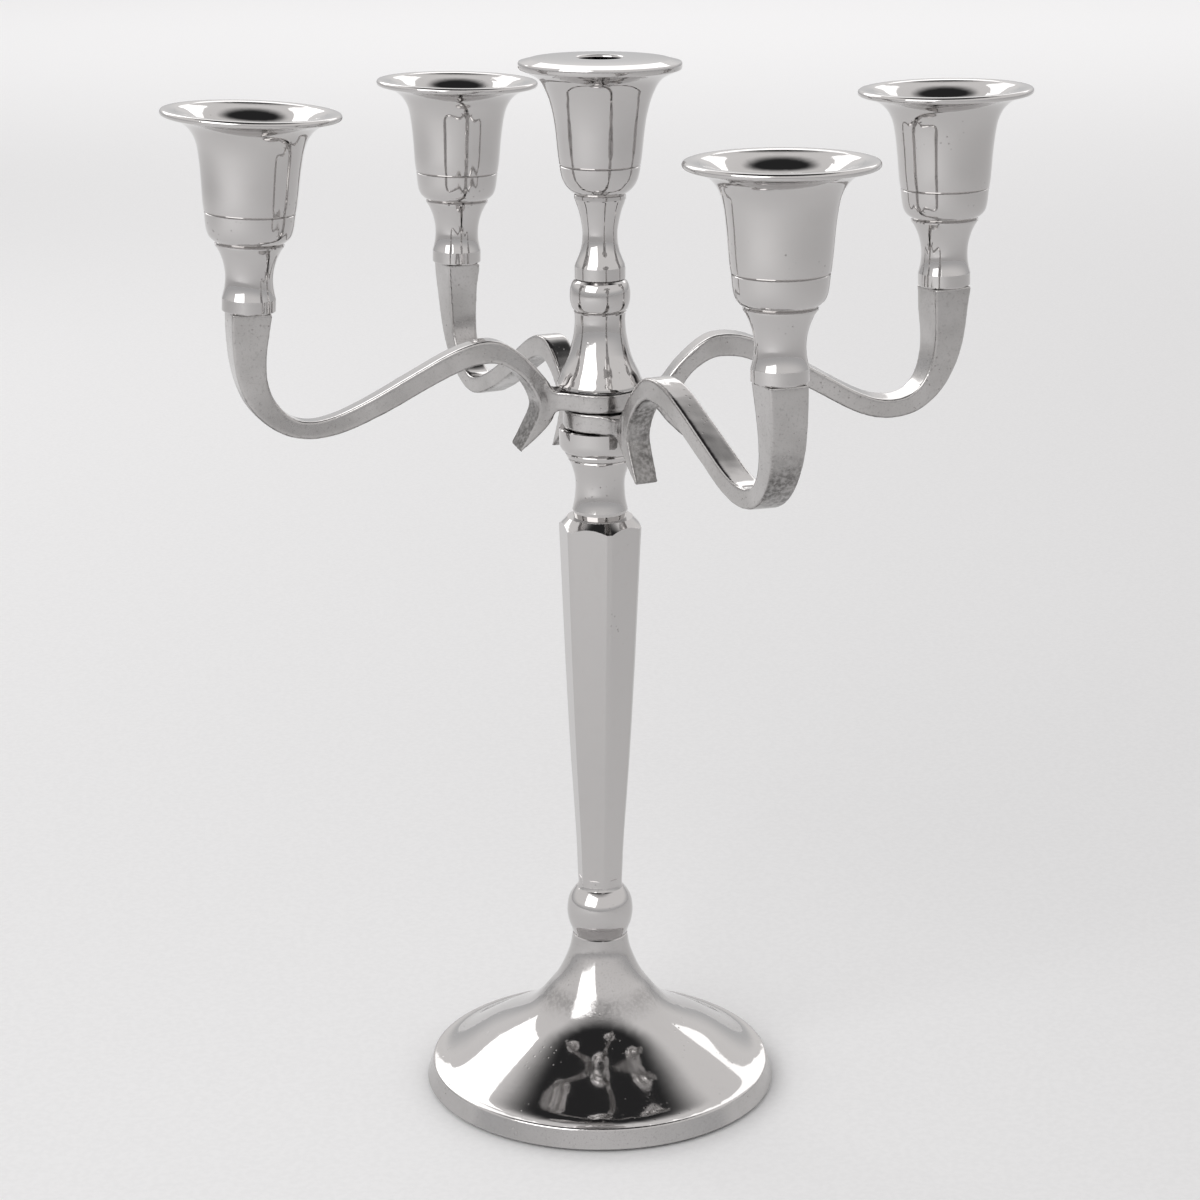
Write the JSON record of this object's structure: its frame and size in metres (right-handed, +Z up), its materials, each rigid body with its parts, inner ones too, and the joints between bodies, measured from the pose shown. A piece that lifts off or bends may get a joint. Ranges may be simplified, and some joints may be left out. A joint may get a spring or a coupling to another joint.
{
  "type": "candelabrum",
  "caption": "Table candelabrum: round foot, tapering hexagonal column, two stacked S-scroll double arms that turn on one stud, flared candle cups and a raised centre cup.",
  "frame": {"origin": "middle of the foot's underside, on the surface the candelabrum stands on", "axes": "+Z up the column, +X along the upper double arm, towards cup_right"},
  "size_m": [0.3185, 0.3109, 0.4],
  "materials": {
    "nickel_plate": "hand-polished nickel plate on cast aluminium",
    "zinc_steel": "bright zinc-plated steel",
    "felt": "black pressed felt"
  },
  "bodies": {
    "stand": {"base_foot": "nickel_plate", "foot_felt_ring": "felt", "foot_washer": "zinc_steel", "foot_spring_washer": "zinc_steel", "foot_bolt": "zinc_steel", "column": "nickel_plate", "hub_stud": "zinc_steel"},
    "lower_arms": {"lower_double_arm": "nickel_plate", "cup_stud_front": "zinc_steel", "cup_stud_back": "zinc_steel"},
    "upper_arms": {"upper_double_arm": "nickel_plate", "cup_stud_right": "zinc_steel", "cup_stud_left": "zinc_steel"},
    "baluster": {"baluster": "nickel_plate", "clamp_washer": "zinc_steel", "centre_cup_stud": "zinc_steel"},
    "centre_cup": {"centre_cup": "nickel_plate"},
    "cup_right": {"cup_right": "nickel_plate"},
    "cup_left": {"cup_left": "nickel_plate"},
    "cup_front": {"cup_front": "nickel_plate"},
    "cup_back": {"cup_back": "nickel_plate"}
  },
  "joints": [
    {"name": "lower_arms_turn", "type": "hinge", "parent": "stand", "child": "lower_arms", "pos_m": [0, 0, 0.2677], "axis": [0, 0, 1], "continuous": true},
    {"name": "upper_arms_turn", "type": "hinge", "parent": "lower_arms", "child": "upper_arms", "pos_m": [0, 0, 0.2752], "axis": [0, 0, 1], "range_deg": [-34, 72]},
    {"name": "baluster_unscrew", "type": "hinge", "parent": "stand", "child": "baluster", "pos_m": [0, 0, 0.29], "axis": [0, 0, 1], "continuous": true},
    {"name": "centre_cup_unscrew", "type": "hinge", "parent": "baluster", "child": "centre_cup", "pos_m": [0, 0, 0.33], "axis": [0, 0, 1], "continuous": true},
    {"name": "cup_right_unscrew", "type": "hinge", "parent": "upper_arms", "child": "cup_right", "pos_m": [0.1306, 0, 0.3134], "axis": [-0.0258, 0.0042, 0.9997], "continuous": true},
    {"name": "cup_left_unscrew", "type": "hinge", "parent": "upper_arms", "child": "cup_left", "pos_m": [-0.1285, 0, 0.3114], "axis": [0.0465, -0.0075, 0.9989], "continuous": true},
    {"name": "cup_front_unscrew", "type": "hinge", "parent": "lower_arms", "child": "cup_front", "pos_m": [0.03992, -0.12435, 0.3062], "axis": [-0.0103, 0.0017, 0.9999], "continuous": true},
    {"name": "cup_back_unscrew", "type": "hinge", "parent": "lower_arms", "child": "cup_back", "pos_m": [-0.03928, 0.12235, 0.3059], "axis": [0.0172, -0.0028, 0.9998], "continuous": true}
  ]
}
